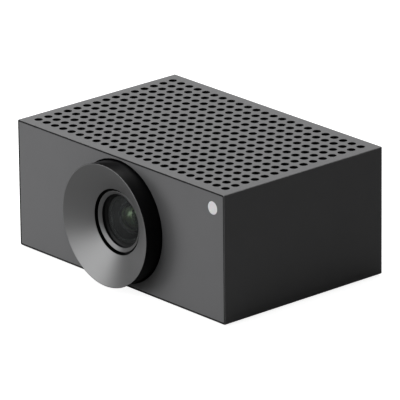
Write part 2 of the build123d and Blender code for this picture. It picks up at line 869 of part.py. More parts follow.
# Main board, heat sink and what is on the board
def make_board():
    with BuildPart() as board:
        with BuildSketch(level(board_bottom)):
            with Locations((0, face_y + (board_front + board_rear) / 2)):
                Rectangle(2 * board_half, board_rear - board_front)
            with Locations(*leg_spots):
                Circle(screw_pass_radius, mode=Mode.SUBTRACT)
        extrude(amount=board_thickness)
    save(board.part, "main_board")

    with BuildPart() as standoffs:
        with BuildSketch(level(chassis_top)):
            with Locations(*leg_spots):
                RegularPolygon(standoff_radius, 6)
                Circle(screw_hole_radius, mode=Mode.SUBTRACT)
        extrude(amount=standoff_height)
    save(standoffs.part, "standoffs")

    pad_bottom = board_top + processor_thickness
    pedestal_bottom = pad_bottom + pad_thickness
    sizes = (
        ("processor", processor_side, board_top, pad_bottom),
        ("thermal_pad", processor_side, pad_bottom, pedestal_bottom),
    )
    for name, side, low, high in sizes:
        with BuildPart() as piece:
            with BuildSketch(level(low)):
                with Locations(processor_spot):
                    Rectangle(side, side)
            extrude(amount=high - low)
        save(piece.part, name)

    fin_count = int((2 * board_half - fin_thickness - 2 * fin_edge) / fin_pitch) + 1
    sink_middle = face_y + (board_front + board_rear) / 2
    sink_length = board_rear - board_front - 2 * fin_edge
    fin_top = ceiling_z - sink_top_gap
    with BuildPart() as sink:
        with BuildSketch(level(sink_bottom)):
            with Locations((0, sink_middle)):
                Rectangle(2 * board_half, sink_length)
        extrude(amount=sink_plate)
        with BuildSketch(level(sink_plate_top)):
            with Locations((0, sink_middle)):
                with GridLocations(fin_pitch, sink_length, fin_count, 1):
                    Rectangle(fin_thickness, sink_length)
        extrude(amount=fin_top - sink_plate_top)
        with BuildSketch(level(pedestal_bottom)):
            with Locations(processor_spot):
                Rectangle(pedestal_side, pedestal_side)
        extrude(amount=sink_bottom - pedestal_bottom)
        with BuildSketch(level(board_top)):
            with Locations(*leg_spots):
                Circle(leg_radius)
        extrude(amount=sink_rise)
        with BuildSketch(level(board_top)):
            with Locations(*leg_spots):
                Circle(screw_pass_radius)
        extrude(amount=sink_plate_top - board_top, mode=Mode.SUBTRACT)
        with BuildSketch(level(sink_plate_top)):
            with Locations(*leg_spots):
                Circle(screw_head_radius + screw_head_pocket_gap)
        extrude(amount=fin_top - sink_plate_top, mode=Mode.SUBTRACT)
    save(sink.part, "heat_sink")

    with BuildPart() as sink_screws:
        with BuildSketch(level(chassis_top + screw_pass_gap)):
            with Locations(*leg_spots):
                Circle(screw_radius)
        extrude(amount=sink_plate_top - chassis_top - screw_pass_gap)
        with BuildSketch(level(sink_plate_top)):
            with Locations(*leg_spots):
                Circle(screw_head_radius)
        extrude(amount=screw_head_height)
        with BuildSketch(level(sink_plate_top + screw_head_height)):
            with Locations(*leg_spots):
                RegularPolygon(screw_head_radius * drive_share, 6)
        extrude(amount=-screw_head_height * drive_depth_share, mode=Mode.SUBTRACT)
    save(sink_screws.part, "heat_sink_screws")

    middle_y = processor_spot[1]
    # node, x, depth behind the processor, width, length, height, pitch, how many
    chip_rows = (
        ("memory_chips", 20.5, 0.0, 9.0, 11.0, 1.0, 12.0, 2),
        ("network_chip", -11.5, 10.5, 7.0, 7.0, 0.9, 7.0, 1),
        ("power_inductors", 29.0, 0.0, 5.0, 5.0, 3.0, 6.4, 3),
    )
    for name, x, behind, width, length, height, pitch, count in chip_rows:
        with BuildPart() as group:
            with BuildSketch(level(board_top)):
                with Locations((x, middle_y + behind)):
                    with GridLocations(pitch, pitch, 1, count):
                        Rectangle(width, length)
            extrude(amount=height)
        save(group.part, name)

    with BuildPart() as capacitors:
        with BuildSketch(level(board_top)):
            with Locations((capacitor_x, face_y + board_front + capacitor_setback)):
                with GridLocations(capacitor_pitch, capacitor_pitch, 3, 1):
                    Circle(capacitor_radius)
        extrude(amount=capacitor_height)
        chamfer(capacitors.edges().group_by(Axis.Z)[-1], length=capacitor_chamfer)
    save(capacitors.part, "capacitors")


# Sockets and ribbons
def make_sockets():
    jack_start = socket_face - jack_length
    insert_bottom = board_top + jack_shell
    socket_bottom = insert_bottom + jack_socket_lift
    socket_top = socket_bottom + jack_socket_height
    socket_back = socket_face - jack_socket_depth
    with BuildPart() as shell:
        with BuildSketch(across(socket_face)):
            with Locations((jack_x, board_top)):
                Rectangle(jack_width, jack_height, align=(Align.CENTER, Align.MIN))
        extrude(amount=jack_length)
        with BuildSketch(across(socket_face)):
            with Locations((jack_x, insert_bottom)):
                Rectangle(
                    jack_width - 2 * jack_shell,
                    jack_height - 2 * jack_shell,
                    align=(Align.CENTER, Align.MIN),
                )
        extrude(amount=jack_length - jack_shell, mode=Mode.SUBTRACT)
    save(shell.part, "ethernet_shell")

    with BuildPart() as insert:
        with BuildSketch(across(socket_face)):
            with Locations((jack_x, insert_bottom)):
                Rectangle(
                    jack_width - 2 * jack_shell,
                    jack_height - 2 * jack_shell,
                    align=(Align.CENTER, Align.MIN),
                )
        extrude(amount=jack_length - jack_shell)
        with BuildSketch(across(socket_face)):
            with Locations((jack_x, socket_bottom)):
                Rectangle(
                    jack_socket_width, jack_socket_height, align=(Align.CENTER, Align.MIN)
                )
                Rectangle(
                    jack_key_width, 2 * jack_key_height, align=(Align.CENTER, Align.CENTER)
                )
        extrude(amount=jack_socket_depth, mode=Mode.SUBTRACT)
    save(insert.part, "ethernet_insert")

    with BuildPart() as contacts:
        with BuildSketch(across(socket_back + contact_length)):
            with Locations((jack_x, socket_top - contact_drop)):
                with GridLocations(contact_pitch, contact_pitch, 8, 1):
                    Rectangle(contact_width, contact_height)
        extrude(amount=contact_length)
    save(contacts.part, "ethernet_contacts")

    usb_z = board_top + usb_height / 2
    root_end = socket_face - usb_length + usb_shell + tongue_root_length
    with BuildPart() as usb:
        with BuildSketch(across(socket_face)):
            with Locations((usb_x, usb_z)):
                RectangleRounded(usb_width, usb_height, usb_height / 2 - usb_shell / 2)
        extrude(amount=usb_length)
        with BuildSketch(across(socket_face)):
            with Locations((usb_x, usb_z)):
                RectangleRounded(
                    usb_width - 2 * usb_shell,
                    usb_height - 2 * usb_shell,
                    usb_height / 2 - usb_shell * 1.5,
                )
        extrude(amount=usb_length - usb_shell, mode=Mode.SUBTRACT)
    save(usb.part, "usb_shell")

    with BuildPart() as tongue:
        with BuildSketch(across(root_end)):
            with Locations((usb_x, usb_z)):
                Rectangle(tongue_width, usb_height - 2 * usb_shell - 2 * cutout_gap)
        extrude(amount=tongue_root_length)
        with BuildSketch(across(root_end + tongue_length)):
            with Locations((usb_x, usb_z)):
                Rectangle(tongue_width, tongue_height)
        extrude(amount=tongue_length)
    save(tongue.part, "usb_tongue")


def make_ribbons():
    socket_front = board_front + socket_height / 2
    level_z = board_top + socket_height / 2
    sensor_back = sensor_board_end + socket_height
    bend = (sensor_back + board_front) / 2
    half = sensor_ribbon_width / 2 + ribbon_thickness
    save(
        block(
            (-half, half),
            (socket_front, socket_front + socket_length),
            (board_top, board_top + socket_height),
        ),
        "board_socket",
    )
    route = [
        (sensor_back, sensor_socket_z),
        (bend, sensor_socket_z),
        (bend, level_z),
        (socket_front, level_z),
    ]
    save(ribbon(route, 0, sensor_ribbon_width), "sensor_ribbon")

    light_back = light_board_depth + light_board_thickness + socket_height
    half = light_ribbon_width / 2 + ribbon_thickness
    ribbon_x = light_post_spot[0] - small_head_radius - light_board_margin - half
    save(
        block(
            (ribbon_x - half, ribbon_x + half),
            (light_back - socket_height, light_back),
            (light_z - socket_length / 2, light_z + socket_length / 2),
        ),
        "light_socket",
    )
    save(
        block(
            (ribbon_x - half, ribbon_x + half),
            (socket_front, socket_front + socket_length),
            (board_top, board_top + socket_height),
        ),
        "light_board_socket",
    )
    route = [
        (light_back, light_z),
        (bend, light_z),
        (bend, level_z),
        (socket_front, level_z),
    ]
    save(ribbon(route, ribbon_x, light_ribbon_width), "light_ribbon")


# Status light and reset button
def make_light():
    flange_end = front_plate_thickness + light_flange
    led_start = light_board_depth - led_thickness
    sections = (
        (light_gap, front_plate_thickness, light_radius),
        (front_plate_thickness, flange_end, light_flange_radius),
        (flange_end, led_start, light_stem_radius),
    )
    with BuildPart() as pipe:
        for start, end, radius in sections:
            with BuildSketch(across(end)):
                with Locations((light_x, light_z)):
                    Circle(radius)
            extrude(amount=end - start)
    save(pipe.part, "status_light_lens")

    with BuildPart() as led:
        with BuildSketch(across(light_board_depth)):
            with Locations((light_x, light_z)):
                Rectangle(led_side, led_side)
        extrude(amount=led_thickness)
    save(led.part, "status_led")

    board_right = light_x + light_flange_radius
    with BuildPart() as board:
        with BuildSketch(across(light_board_depth + light_board_thickness)):
            with Locations((board_right - light_board_width / 2, light_z)):
                Rectangle(light_board_width, light_board_height - light_flange)
            with Locations(light_post_spot):
                Circle(small_screw_radius + screw_pass_gap, mode=Mode.SUBTRACT)
        extrude(amount=light_board_thickness)
    save(board.part, "light_board")

    seat = light_board_depth + light_board_thickness
    length = seat - front_plate_thickness - screw_pass_gap
    save(
        screws(
            [light_post_spot],
            seat,
            length,
            small_screw_radius,
            small_head_radius,
            small_head_height,
        ),
        "light_board_screw",
    )


def make_button():
    collar_end = rear_plate_front - button_rest_gap
    collar_start = collar_end - button_collar
    button_end = body_depth - button_recess
    with BuildPart() as button:
        with BuildSketch(across(button_end)):
            with Locations((button_x, button_z)):
                Circle(button_radius)
        extrude(amount=button_end - collar_end)
        chamfer(button.edges().group_by(Axis.Y)[-1], length=button_gap)
        with BuildSketch(across(collar_end)):
            with Locations((button_x, button_z)):
                Circle(button_collar_radius)
        extrude(amount=button_collar)
    save(button.part, "reset_button")

    stem_start = collar_start - stem_length
    with BuildPart() as stem:
        with BuildSketch(across(collar_start)):
            with Locations((button_x, button_z)):
                Circle(stem_radius)
        extrude(amount=stem_length)
    save(stem.part, "switch_stem")

    switch_end = stem_start + stem_in_switch
    with BuildPart() as switch:
        with BuildSketch(across(switch_end)):
            with Locations((button_x, board_top)):
                Rectangle(switch_width, switch_height, align=(Align.CENTER, Align.MIN))
        extrude(amount=switch_length)
        with BuildSketch(across(switch_end)):
            with Locations((button_x, button_z)):
                Circle(stem_radius + stem_gap)
        depth = stem_in_switch + button_travel + stem_gap
        extrude(amount=depth, mode=Mode.SUBTRACT)
    save(switch.part, "reset_switch")


os.makedirs("parts", exist_ok=True)
make_sleeve()
make_front()
make_lens()
make_sensor()
make_chassis()
make_rear()
make_board()
make_sockets()
make_ribbons()
make_light()
make_button()
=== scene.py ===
import math

import bmesh
import bpy
from mathutils import Matrix, Vector


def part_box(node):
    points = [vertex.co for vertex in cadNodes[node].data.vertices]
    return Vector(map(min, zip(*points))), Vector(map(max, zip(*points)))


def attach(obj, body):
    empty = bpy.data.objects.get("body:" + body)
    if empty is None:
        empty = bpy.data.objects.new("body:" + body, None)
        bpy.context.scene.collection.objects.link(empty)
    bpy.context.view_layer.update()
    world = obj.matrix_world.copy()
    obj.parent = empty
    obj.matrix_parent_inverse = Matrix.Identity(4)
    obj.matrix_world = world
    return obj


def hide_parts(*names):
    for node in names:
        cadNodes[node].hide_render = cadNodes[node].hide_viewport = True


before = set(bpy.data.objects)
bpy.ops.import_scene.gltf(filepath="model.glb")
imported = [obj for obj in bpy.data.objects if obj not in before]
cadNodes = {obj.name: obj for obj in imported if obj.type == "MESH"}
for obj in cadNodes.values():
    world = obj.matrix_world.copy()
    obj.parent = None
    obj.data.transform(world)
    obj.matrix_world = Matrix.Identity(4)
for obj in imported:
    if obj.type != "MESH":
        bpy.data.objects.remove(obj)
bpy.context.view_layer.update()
mm = 0.001

hoodLow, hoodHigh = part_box("lens_hood")
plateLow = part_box("front_plate")[0]
sleeveLow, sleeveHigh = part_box("sleeve")
faceY = plateLow.y                               # front face of the box
axisZ = (hoodLow.z + hoodHigh.z) / 2             # height of the lens axis
hoodRadius = (hoodHigh.x - hoodLow.x) / 2
hoodReach = faceY - hoodLow.y
print("frame loaded:", len(cadNodes), "nodes")


def linkObject(name, mesh):
    piece = bpy.data.objects.new(name, mesh)
    bpy.context.scene.collection.objects.link(piece)
    return piece


def finishMesh(bm, name, sharpAngle=35):
    bmesh.ops.recalc_face_normals(bm, faces=bm.faces)
    mesh = bpy.data.meshes.new(name)
    bm.to_mesh(mesh)
    bm.free()
    for polygon in mesh.polygons:
        polygon.use_smooth = True
    mesh.set_sharp_from_angle(angle=math.radians(sharpAngle))
    return mesh


def place(piece, material, nodesReplaced=(), body="camera"):
    piece.data.materials.clear()
    for one in material if isinstance(material, (list, tuple)) else [material]:
        piece.data.materials.append(one)
    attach(piece, body)
    if nodesReplaced:
        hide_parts(*nodesReplaced)
    return piece


# Turns each (u, v, radius) corner of a closed outline into an arc
def roundCorners(outline, steps=5):
    points = []
    count = len(outline)
    for index, (u, v, radius) in enumerate(outline):
        corner = Vector((u, v))
        if radius == 0:
            points.append(corner)
            continue
        before = (Vector(outline[index - 1][:2]) - corner).normalized()
        after = (Vector(outline[(index + 1) % count][:2]) - corner).normalized()
        halfAngle = before.angle(after) / 2
        reach = radius / math.tan(halfAngle)
        middle = (before + after).normalized() * (radius / math.sin(halfAngle))
        start = before * reach - middle
        turn = (after * reach - middle).angle_signed(start)
        for step in range(steps + 1):
            spin = Matrix.Rotation(turn * step / steps, 2)
            points.append(corner + middle + spin @ start)
    return points


# Turns a closed outline of (depth, radius, corner radius) in mm about the lens axis
def latheMesh(name, outline, segments=160, sharpAngle=35):
    bm = bmesh.new()
    points = roundCorners(outline)
    rings = []
    for depth, radius in points:
        y = faceY + depth * mm
        if abs(radius) < 1e-6:
            rings.append([bm.verts.new((0, y, axisZ))])
            continue
        ring = []
        for k in range(segments):
            angle = 2 * math.pi * k / segments
            across, up = radius * mm * math.cos(angle), radius * mm * math.sin(angle)
            ring.append(bm.verts.new((across, y, axisZ + up)))
        rings.append(ring)
    for first, second in zip(rings, rings[1:] + rings[:1]):
        if len(first) == 1 and len(second) == 1:
            continue
        for k in range(segments):
            after = (k + 1) % segments
            if len(first) == 1:
                bm.faces.new((first[0], second[k], second[after]))
            elif len(second) == 1:
                bm.faces.new((first[k], first[after], second[0]))
            else:
                bm.faces.new((first[k], first[after], second[after], second[k]))
    return finishMesh(bm, name, sharpAngle)


# A copy of a CAD node with its sharp edges broken by a small bevel
def softenedCopy(nodeName, width, steps=2, limit=32):
    weld = 0.002 * mm
    mesh = cadNodes[nodeName].data.copy()
    bm = bmesh.new()
    bm.from_mesh(mesh)
    bmesh.ops.remove_doubles(bm, verts=bm.verts, dist=weld)
    bmesh.ops.dissolve_degenerate(bm, edges=bm.edges, dist=weld)
    bm.to_mesh(mesh)
    bm.free()
    if "custom_normal" in mesh.attributes:
        mesh.attributes.remove(mesh.attributes["custom_normal"])
    for polygon in mesh.polygons:
        polygon.use_smooth = True
    piece = linkObject(nodeName + "_edged", mesh)
    bevel = piece.modifiers.new("edgeBreak", "BEVEL")
    bevel.width = width
    bevel.segments = steps
    bevel.limit_method = "ANGLE"
    bevel.angle_limit = math.radians(limit)
    bevel.use_clamp_overlap = True
    bevel.harden_normals = True
    return piece


def startMaterial(name):
    material = bpy.data.materials.new(name)
    material.use_nodes = True
    tree = material.node_tree
    shader = tree.nodes["Principled BSDF"]
    return material, tree, shader


def addNode(tree, kind, **settings):
    node = tree.nodes.new(kind)
    for key, value in settings.items():
        if key in node.inputs:
            node.inputs[key].default_value = value
        else:
            setattr(node, key, value)
    return node


def mixColours(tree, factor, first, second):
    node = tree.nodes.new("ShaderNodeMix")
    node.data_type = "RGBA"
    node.inputs["A"].default_value = (*first, 1)
    node.inputs["B"].default_value = (*second, 1)
    tree.links.new(factor, node.inputs["Factor"])
    return node.outputs["Result"]


def mapRange(tree, value, low, high, fromLow=0.3, fromHigh=0.7):
    node = addNode(tree, "ShaderNodeMapRange")
    node.inputs["From Min"].default_value = fromLow
    node.inputs["From Max"].default_value = fromHigh
    node.inputs["To Min"].default_value = low
    node.inputs["To Max"].default_value = high
    tree.links.new(value, node.inputs["Value"])
    return node.outputs["Result"]


def objectPoint(tree, stretch=(1, 1, 1)):
    coords = tree.nodes.new("ShaderNodeTexCoord")
    mapping = tree.nodes.new("ShaderNodeMapping")
    mapping.inputs["Scale"].default_value = stretch
    tree.links.new(coords.outputs["Object"], mapping.inputs["Vector"])
    return mapping.outputs["Vector"]


def noiseAt(tree, vector, size, detail=2.0, roughness=0.5):
    node = tree.nodes.new("ShaderNodeTexNoise")
    node.inputs["Scale"].default_value = 1 / size
    node.inputs["Detail"].default_value = detail
    node.inputs["Roughness"].default_value = roughness
    tree.links.new(vector, node.inputs["Vector"])
    return node.outputs["Fac"]


# A surface with a fine grain, a slow change of tone and its own roughness
def grainedFinish(name, look):
    material, tree, shader = startMaterial(name)
    vector = objectPoint(tree, look.get("stretch", (1, 1, 1)))
    patch = noiseAt(tree, vector, look.get("patch", 12 * mm), 3.0)
    grain = noiseAt(tree, vector, look["grain"], 2.0, 0.6)
    tone = mixColours(tree, patch, look["colour"], look["tint"])
    tree.links.new(tone, shader.inputs["Base Color"])
    low, high = look["roughness"]
    tree.links.new(mapRange(tree, grain, low, high), shader.inputs["Roughness"])
    bump = tree.nodes.new("ShaderNodeBump")
    bump.inputs["Strength"].default_value = look.get("bump", 0.5)
    bump.inputs["Distance"].default_value = look["depth"]
    tree.links.new(grain, bump.inputs["Height"])
    tree.links.new(bump.outputs["Normal"], shader.inputs["Normal"])
    shader.inputs["Metallic"].default_value = look.get("metallic", 0.0)
    shader.inputs["Specular IOR Level"].default_value = look.get("specular", 0.5)
    shader.inputs["Coat Weight"].default_value = look.get("coat", 0.0)
    shader.inputs["Coat Roughness"].default_value = look.get("coatRoughness", 0.1)
    shader.inputs["Subsurface Weight"].default_value = look.get("subsurface", 0.0)
    shader.inputs["Subsurface Scale"].default_value = 1 * mm
    return material


# A lathe-cut surface, with fine rings about the lens axis under the grain
def turnedFinish(name, look):
    material = grainedFinish(name, look)
    tree = material.node_tree
    shader = tree.nodes["Principled BSDF"]
    coords = tree.nodes.new("ShaderNodeTexCoord")
    parts = tree.nodes.new("ShaderNodeSeparateXYZ")
    tree.links.new(coords.outputs["Object"], parts.inputs["Vector"])
    height = addNode(tree, "ShaderNodeMath", operation="SUBTRACT")
    height.inputs[1].default_value = axisZ
    tree.links.new(parts.outputs["Z"], height.inputs[0])
    flat = tree.nodes.new("ShaderNodeCombineXYZ")
    tree.links.new(parts.outputs["X"], flat.inputs["X"])
    tree.links.new(height.outputs["Value"], flat.inputs["Y"])
    radius = addNode(tree, "ShaderNodeVectorMath", operation="LENGTH")
    tree.links.new(flat.outputs["Vector"], radius.inputs[0])
    along = tree.nodes.new("ShaderNodeCombineXYZ")
    tree.links.new(radius.outputs["Value"], along.inputs["X"])
    tree.links.new(parts.outputs["Y"], along.inputs["Y"])
    rings = noiseAt(tree, along.outputs["Vector"], look["ringPitch"], 3.0, 0.7)
    bump = tree.nodes.new("ShaderNodeBump")
    bump.inputs["Strength"].default_value = 1.0
    bump.inputs["Distance"].default_value = look["ringDepth"]
    tree.links.new(rings, bump.inputs["Height"])
    first = shader.inputs["Normal"].links[0].from_node
    tree.links.new(first.outputs["Normal"], bump.inputs["Normal"])
    tree.links.new(bump.outputs["Normal"], shader.inputs["Normal"])
    return material


boxFinish = {
    "colour": (0.19, 0.19, 0.193),
    "tint": (0.205, 0.205, 0.208),
    "roughness": (0.58, 0.68),
    "grain": 0.22 * mm,
    "depth": 0.004 * mm,
    "specular": 0.2,
}
boxMetal = grainedFinish("blastedGreyMetal", boxFinish)
plateMetal = grainedFinish("blastedGreyPlate", {
    **boxFinish,
    "colour": (0.16, 0.161, 0.165),
    "tint": (0.175, 0.175, 0.179),
    "roughness": (0.5, 0.58),
    "specular": 0.8,
})
# Near-black painted shade for the inside of the box, the walls of the vent holes and the recess round the
# hood's seat
paintedShadeBlack = grainedFinish("paintedShadeBlack", {
    "colour": (0.003, 0.003, 0.003),
    "tint": (0.004, 0.004, 0.004),
    "roughness": (0.8, 0.95),
    "grain": 0.3 * mm,
    "depth": 0.01 * mm,
    "specular": 0.05,
})
coneMetal = turnedFinish("turnedHoodMetal", {
    "colour": (0.36, 0.361, 0.364),
    "tint": (0.38, 0.381, 0.384),
    "roughness": (0.38, 0.43),
    "grain": 0.15 * mm,
    "depth": 0.003 * mm,
    "metallic": 0.85,
    "specular": 1.0,
    "ringPitch": 0.12 * mm,
    "ringDepth": 0.0015 * mm,
})
# Black for the hood's outer side, also used as painted shade in the hood's throat and seat
blackMetalAndThroatShade = turnedFinish("blackHoodMetalAndThroatShade", {
    "colour": (0.003, 0.003, 0.0033),
    "tint": (0.004, 0.004, 0.0043),
    "roughness": (0.3, 0.36),
    "grain": 0.15 * mm,
    "depth": 0.003 * mm,
    "specular": 0.12,
    "ringPitch": 0.12 * mm,
    "ringDepth": 0.001 * mm,
})
ringMetal = turnedFinish("turnedRingMetal", {
    "colour": (0.26, 0.26, 0.262),
    "tint": (0.28, 0.28, 0.282),
    "roughness": (0.36, 0.42),
    "grain": 0.12 * mm,
    "depth": 0.002 * mm,
    "metallic": 0.85,
    "specular": 1.0,
    "ringPitch": 0.1 * mm,
    "ringDepth": 0.0015 * mm,
})
lensBlack = turnedFinish("lensInnerBlack", {
    "colour": (0.006, 0.006, 0.0065),
    "tint": (0.01, 0.01, 0.0105),
    "roughness": (0.42, 0.55),
    "grain": 0.1 * mm,
    "depth": 0.003 * mm,
    "specular": 0.4,
    "ringPitch": 0.2 * mm,
    "ringDepth": 0.003 * mm,
})
rubberBlack = grainedFinish("rubberBlack", {
    "colour": (0.012, 0.012, 0.012),
    "tint": (0.02, 0.02, 0.02),
    "roughness": (0.7, 0.85),
    "grain": 0.3 * mm,
    "depth": 0.02 * mm,
    "specular": 0.3,
})
diffuser = grainedFinish("milkyDiffuser", {
    "colour": (0.93, 0.93, 0.94),
    "tint": (0.96, 0.96, 0.97),
    "roughness": (0.35, 0.45),
    "grain": 0.2 * mm,
    "depth": 0.002 * mm,
    "subsurface": 0.3,
})
zincSteel = grainedFinish("zincSteel", {
    "colour": (0.55, 0.55, 0.53),
    "tint": (0.65, 0.64, 0.6),
    "roughness": (0.28, 0.42),
    "grain": 0.4 * mm,
    "depth": 0.004 * mm,
    "metallic": 1.0,
})
blackSteel = grainedFinish("blackSteel", {
    "colour": (0.02, 0.02, 0.02),
    "tint": (0.035, 0.035, 0.035),
    "roughness": (0.35, 0.5),
    "grain": 0.2 * mm,
    "depth": 0.004 * mm,
    "metallic": 0.6,
})
brass = grainedFinish("turnedBrass", {
    "colour": (0.66, 0.5, 0.24),
    "tint": (0.75, 0.58, 0.3),
    "roughness": (0.22, 0.36),
    "grain": 0.25 * mm,
    "depth": 0.004 * mm,
    "metallic": 1.0,
})
sinkMetal = grainedFinish("blackExtrusion", {
    "colour": (0.02, 0.02, 0.021),
    "tint": (0.03, 0.03, 0.031),
    "roughness": (0.4, 0.55),
    "grain": 0.3 * mm,
    "stretch": (1, 0.02, 1),
    "depth": 0.01 * mm,
    "metallic": 0.3,
})
chipBlack = grainedFinish("mouldedEpoxy", {
    "colour": (0.018, 0.018, 0.019),
    "tint": (0.028, 0.028, 0.03),
    "roughness": (0.5, 0.65),
    "grain": 0.1 * mm,
    "depth": 0.01 * mm,
})
plasticBlack = grainedFinish("mouldedBlackPlastic", {
    "colour": (0.012, 0.012, 0.013),
    "tint": (0.02, 0.02, 0.021),
    "roughness": (0.35, 0.5),
    "grain": 0.15 * mm,
    "depth": 0.006 * mm,
})
plasticCream = grainedFinish("mouldedCreamPlastic", {
    "colour": (0.75, 0.72, 0.62),
    "tint": (0.8, 0.77, 0.68),
    "roughness": (0.35, 0.45),
    "grain": 0.2 * mm,
    "depth": 0.004 * mm,
})
nickel = grainedFinish("nickelPlate", {
    "colour": (0.6, 0.58, 0.55),
    "tint": (0.68, 0.66, 0.62),
    "roughness": (0.2, 0.34),
    "grain": 0.5 * mm,
    "stretch": (0.1, 1, 1),
    "depth": 0.004 * mm,
    "metallic": 1.0,
})
gold = grainedFinish("goldPlate", {
    "colour": (0.83, 0.6, 0.22),
    "tint": (0.9, 0.68, 0.3),
    "roughness": (0.18, 0.28),
    "grain": 0.2 * mm,
    "depth": 0.002 * mm,
    "metallic": 1.0,
})
padBlue = grainedFinish("siliconePad", {
    "colour": (0.2, 0.36, 0.52),
    "tint": (0.26, 0.42, 0.58),
    "roughness": (0.6, 0.75),
    "grain": 0.2 * mm,
    "depth": 0.01 * mm,
})
filmOrange = grainedFinish("polyimideFilm", {
    "colour": (0.55, 0.22, 0.03),
    "tint": (0.62, 0.28, 0.05),
    "roughness": (0.25, 0.35),
    "grain": 0.4 * mm,
    "depth": 0.002 * mm,
    "coat": 0.4,
})


# Solder mask with copper runs under it
def boardFinish(name, look):
    material, tree, shader = startMaterial(name)
    vector = objectPoint(tree)
    bricks = tree.nodes.new("ShaderNodeTexBrick")
    bricks.inputs["Scale"].default_value = 1 / look["runPitch"]
    bricks.inputs["Mortar Size"].default_value = look["runGap"]
    bricks.inputs["Color1"].default_value = (*look["mask"], 1)
    bricks.inputs["Color2"].default_value = (*look["maskOver"], 1)
    bricks.inputs["Mortar"].default_value = (*look["overCopper"], 1)
    tree.links.new(vector, bricks.inputs["Vector"])
    tree.links.new(bricks.outputs["Color"], shader.inputs["Base Color"])
    grain = noiseAt(tree, vector, look["weave"])
    tree.links.new(mapRange(tree, grain, *look["roughness"]), shader.inputs["Roughness"])
    bump = tree.nodes.new("ShaderNodeBump")
    bump.inputs["Strength"].default_value = look["bump"]
    bump.inputs["Distance"].default_value = look["depth"]
    tree.links.new(bricks.outputs["Fac"], bump.inputs["Height"])
    tree.links.new(bump.outputs["Normal"], shader.inputs["Normal"])
    return material


boardGreen = boardFinish("solderMask", {
    "mask": (0.008, 0.05, 0.025),
    "maskOver": (0.01, 0.06, 0.03),
    "overCopper": (0.03, 0.11, 0.05),
    "runPitch": 2.4 * mm,
    "runGap": 0.08,
    "weave": 0.6 * mm,
    "roughness": (0.28, 0.42),
    "bump": 0.6,
    "depth": 0.02 * mm,
})


# Clear glass whose thin coating tints what it mirrors; it bends light where it has a glass index
def coatedGlass(name, look):
    material, tree, shader = startMaterial(name)
    output = tree.nodes["Material Output"]
    tree.nodes.remove(shader)
    vector = objectPoint(tree)
    smear = noiseAt(tree, vector, look["smear"], 3.0)
    bends = "glassIor" in look
    clear = tree.nodes.new("ShaderNodeBsdfRefraction" if bends else "ShaderNodeBsdfTransparent")
    clear.inputs["Color"].default_value = (*look["body"], 1)
    if bends:
        clear.inputs["IOR"].default_value = look["glassIor"]
    gloss = tree.nodes.new("ShaderNodeBsdfGlossy")
    tint = mixColours(tree, smear, look["coating"], look["coatingOther"])
    tree.links.new(tint, gloss.inputs["Color"])
    tree.links.new(mapRange(tree, smear, *look["roughness"]), gloss.inputs["Roughness"])
    fresnel = tree.nodes.new("ShaderNodeFresnel")
    fresnel.inputs["IOR"].default_value = look["ior"]
    mix = tree.nodes.new("ShaderNodeMixShader")
    tree.links.new(fresnel.outputs["Fac"], mix.inputs["Fac"])
    tree.links.new(clear.outputs["BSDF"], mix.inputs[1])
    tree.links.new(gloss.outputs["BSDF"], mix.inputs[2])
    haze = tree.nodes.new("ShaderNodeBsdfDiffuse")
    haze.inputs["Color"].default_value = (*look["haze"], 1)
    both = tree.nodes.new("ShaderNodeAddShader")
    tree.links.new(mix.outputs["Shader"], both.inputs[0])
    tree.links.new(haze.outputs["BSDF"], both.inputs[1])
    tree.links.new(both.outputs["Shader"], output.inputs["Surface"])
    return material


frontGlass = coatedGlass("frontCoatedGlass", {
    "glassIor": 1.9,
    "body": (0.86, 0.88, 0.87),
    "coating": (0.1, 0.11, 0.12),
    "coatingOther": (0.08, 0.1, 0.1),
    "roughness": (0.2, 0.26),
    "smear": 6 * mm,
    "ior": 1.3,
    "haze": (0.024, 0.025, 0.025),
})
greenGlass = coatedGlass("greenCoatedGlass", {
    "body": (0.7, 0.74, 0.72),
    "coating": (0.24, 0.36, 0.33),
    "coatingOther": (0.42, 0.42, 0.18),
    "roughness": (0.32, 0.38),
    "smear": 2.2 * mm,
    "ior": 1.9,
    "haze": (0.004, 0.005, 0.004),
})
filterGlass = coatedGlass("filterGlass", {
    "body": (0.6, 0.8, 0.85),
    "coating": (0.7, 0.45, 0.5),
    "coatingOther": (0.6, 0.4, 0.55),
    "roughness": (0.03, 0.06),
    "smear": 5 * mm,
    "ior": 1.5,
    "haze": (0.002, 0.002, 0.002),
})
print("finishes made")


# A satin cone inside a black outer ring
hood = {
    "seatDepth": 1.2,
    "openingRadius": 11.1,
    "coneFloor": -1.3,
    "rimWidth": 0.3,
    "rimRound": 0.14,
    "mouthRound": 0.08,
    "throatRound": 0.12,
    "flare": 0.35,
    "sideGap": 0.02,
    "throatShadeDepth": 1.25,
}


def buildHood():
    reach = hoodReach / mm
    radius = hoodRadius / mm
    side = radius - hood["flare"] - hood["sideGap"]
    outline = [
        (hood["seatDepth"], hood["openingRadius"], 0),
        (hood["seatDepth"], side, 0),
        (0, side, 0),
        (-reach, radius - 0.001, hood["rimRound"]),
        (-reach, radius - hood["rimWidth"], hood["mouthRound"]),
        (hood["coneFloor"], hood["openingRadius"], hood["throatRound"]),
    ]
    mesh = latheMesh("lensHood", outline, 256)
    piece = place(linkObject("lensHood", mesh), [coneMetal, blackMetalAndThroatShade], ["lens_hood"])
    for polygon in mesh.polygons:
        away = Vector((polygon.center.x, 0, polygon.center.z - axisZ))
        facesOut = polygon.normal.dot(away.normalized()) > 0.5
        # Faces near the seat, the throat bore among them, take the black as painted shade; the outward
        # faces are the hood's own black
        inThroatShade = polygon.center.y > faceY - hood["throatShadeDepth"] * mm
        polygon.material_index = 1 if facesOut or inThroatShade else 0
    return piece


buildHood()
print("hood made")


